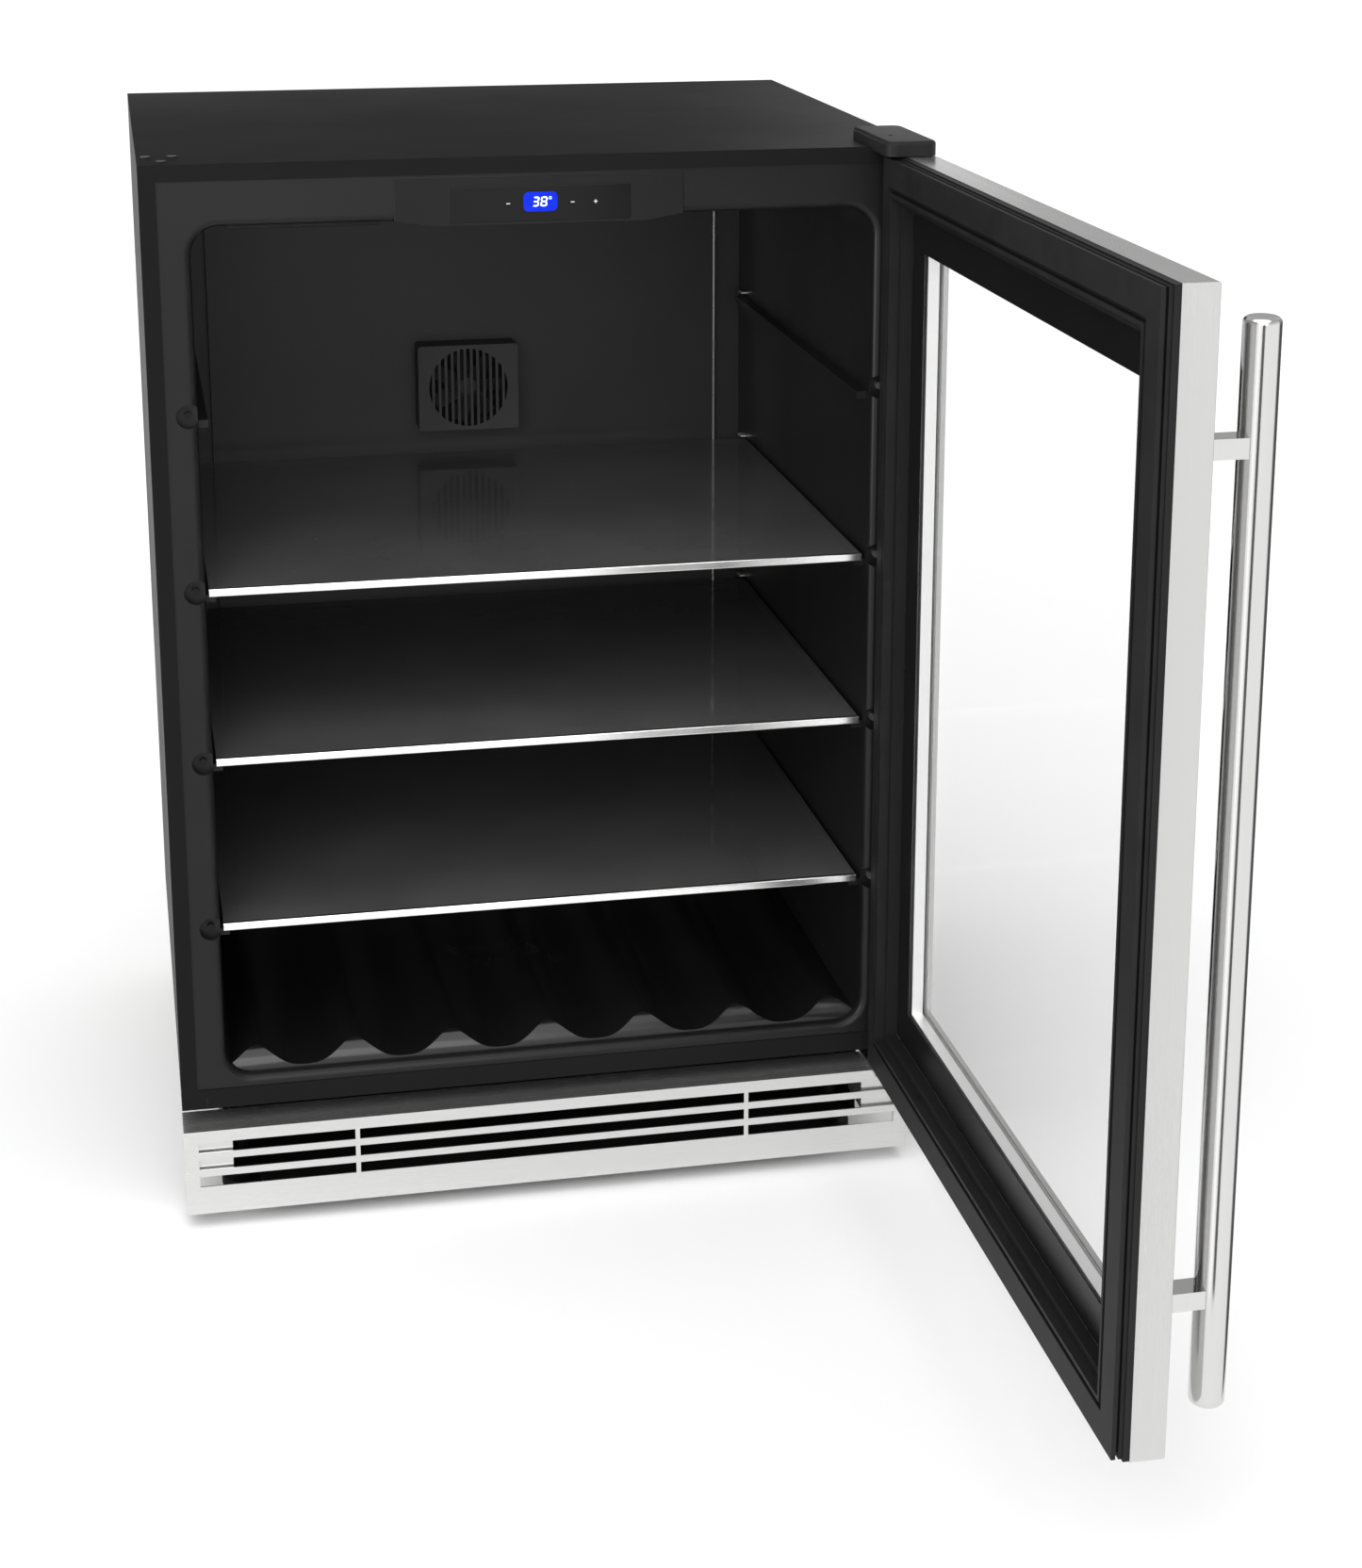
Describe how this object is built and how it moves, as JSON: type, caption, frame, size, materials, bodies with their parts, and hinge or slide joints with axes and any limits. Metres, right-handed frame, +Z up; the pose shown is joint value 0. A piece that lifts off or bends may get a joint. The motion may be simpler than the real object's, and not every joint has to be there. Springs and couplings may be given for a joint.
{
  "type": "undercounter refrigerator",
  "caption": "Undercounter refrigerator with a hinged glass door, sliding glass shelves, ribbed floor, rear fan, display panel, tube handle and slotted kick plate.",
  "frame": {"origin": "on the floor, centred under the whole refrigerator with its door standing open at a right angle", "axes": "+X to the right seen from the front, +Y from the front into the cabinet, +Z up"},
  "size_m": [0.6598, 1.1298, 0.875],
  "materials": {
    "black_paint": "satin",
    "galvanised": "dull",
    "stainless": "brushed",
    "liner_black": "satin",
    "black_plastic": "matt",
    "gloss_black": "gloss",
    "foam": "matt",
    "smoked_glass": "polished",
    "clear_glass": "polished",
    "display_blue": "gloss",
    "rubber_black": "matt",
    "copper": "satin",
    "aluminium": "satin",
    "zinc_steel": "plated",
    "nylon_white": "matt",
    "board_green": "gloss",
    "light_lens": "satin",
    "magnet_brown": "matt"
  },
  "bodies": {
    "cabinet": {"outer_wrapper": "black_paint", "rear_panel": "galvanised", "machine_cover": "galvanised", "cord_inlet": "black_plastic", "base_pan": "black_paint", "base_frame": "galvanised", "inner_liner": "liner_black", "foam_insulation": "foam", "hole_plugs": "black_plastic", "kick_plate": "stainless", "kick_plate_brackets": "stainless", "compressor": "black_paint", "compressor_mounts": "rubber_black", "start_relay": "black_plastic", "condenser": "aluminium", "condenser_fan_shroud": "black_plastic", "condenser_fan_motor": "black_plastic", "filter_drier": "copper", "refrigerant_tubing": "copper", "drain_pan": "black_plastic", "drain_tube": "nylon_white", "evaporator_plate": "aluminium", "evaporator_cover": "liner_black", "fan_housing": "black_plastic", "evaporator_fan_motor": "black_plastic", "shelf_pins": "stainless", "floor_insert": "gloss_black", "control_housing": "black_plastic", "control_panel": "gloss_black", "control_board": "board_green", "interior_light": "light_lens", "display_window": "display_blue", "top_hinge_plate": "zinc_steel", "hinge_screws": "zinc_steel", "top_hinge_cover": "black_plastic", "bottom_hinge_bracket": "zinc_steel", "hinge_pins": "zinc_steel"},
    "door": {"door_outer_frame": "stainless", "door_core": "foam", "door_inner_frame": "black_plastic", "door_gasket": "rubber_black", "gasket_magnet": "magnet_brown", "door_panes": "clear_glass", "glass_spacer": "aluminium", "door_bushings": "nylon_white", "handle_tube": "stainless", "handle_posts": "stainless", "handle_screws": "zinc_steel"},
    "evaporator_fan": {"evaporator_fan_blade": "black_plastic"},
    "condenser_fan": {"condenser_fan_blade": "black_plastic"},
    "shelf_bottom": {"shelf_glass_bottom": "smoked_glass", "shelf_trim_bottom": "stainless"},
    "shelf_middle": {"shelf_glass_middle": "smoked_glass", "shelf_trim_middle": "stainless"},
    "shelf_top": {"shelf_glass_top": "smoked_glass", "shelf_trim_top": "stainless"},
    "leg_front_left": {"leg_front_left": "zinc_steel"},
    "leg_front_right": {"leg_front_right": "zinc_steel"},
    "leg_rear_left": {"leg_rear_left": "zinc_steel"},
    "leg_rear_right": {"leg_rear_right": "zinc_steel"}
  },
  "joints": [
    {"name": "door_hinge", "type": "hinge", "parent": "cabinet", "child": "door", "pos_m": [0.26172, 0.02672, 0.478], "axis": [0, 0, 1], "range_deg": [-90, 20]},
    {"name": "shelf_top_slide", "type": "slide", "parent": "cabinet", "child": "shelf_top", "axis": [0, -1, 0], "range_m": [0, 0.3]},
    {"name": "shelf_middle_slide", "type": "slide", "parent": "cabinet", "child": "shelf_middle", "axis": [0, -1, 0], "range_m": [0, 0.3]},
    {"name": "shelf_bottom_slide", "type": "slide", "parent": "cabinet", "child": "shelf_bottom", "axis": [0, -1, 0], "range_m": [0, 0.3]},
    {"name": "evaporator_fan_spin", "type": "hinge", "parent": "cabinet", "child": "evaporator_fan", "pos_m": [-0.02892, 0.51043, 0.591], "axis": [0, -1, 0], "continuous": true},
    {"name": "condenser_fan_spin", "type": "hinge", "parent": "cabinet", "child": "condenser_fan", "pos_m": [0.01158, 0.50392, 0.098], "axis": [1, 0, 0], "continuous": true},
    {"name": "leg_front_left_screw", "type": "slide", "parent": "cabinet", "child": "leg_front_left", "axis": [0, 0, -1], "range_m": [0, 0.02]},
    {"name": "leg_front_right_screw", "type": "slide", "parent": "cabinet", "child": "leg_front_right", "axis": [0, 0, -1], "range_m": [0, 0.02]},
    {"name": "leg_rear_left_screw", "type": "slide", "parent": "cabinet", "child": "leg_rear_left", "axis": [0, 0, -1], "range_m": [0, 0.02]},
    {"name": "leg_rear_right_screw", "type": "slide", "parent": "cabinet", "child": "leg_rear_right", "axis": [0, 0, -1], "range_m": [0, 0.02]}
  ]
}
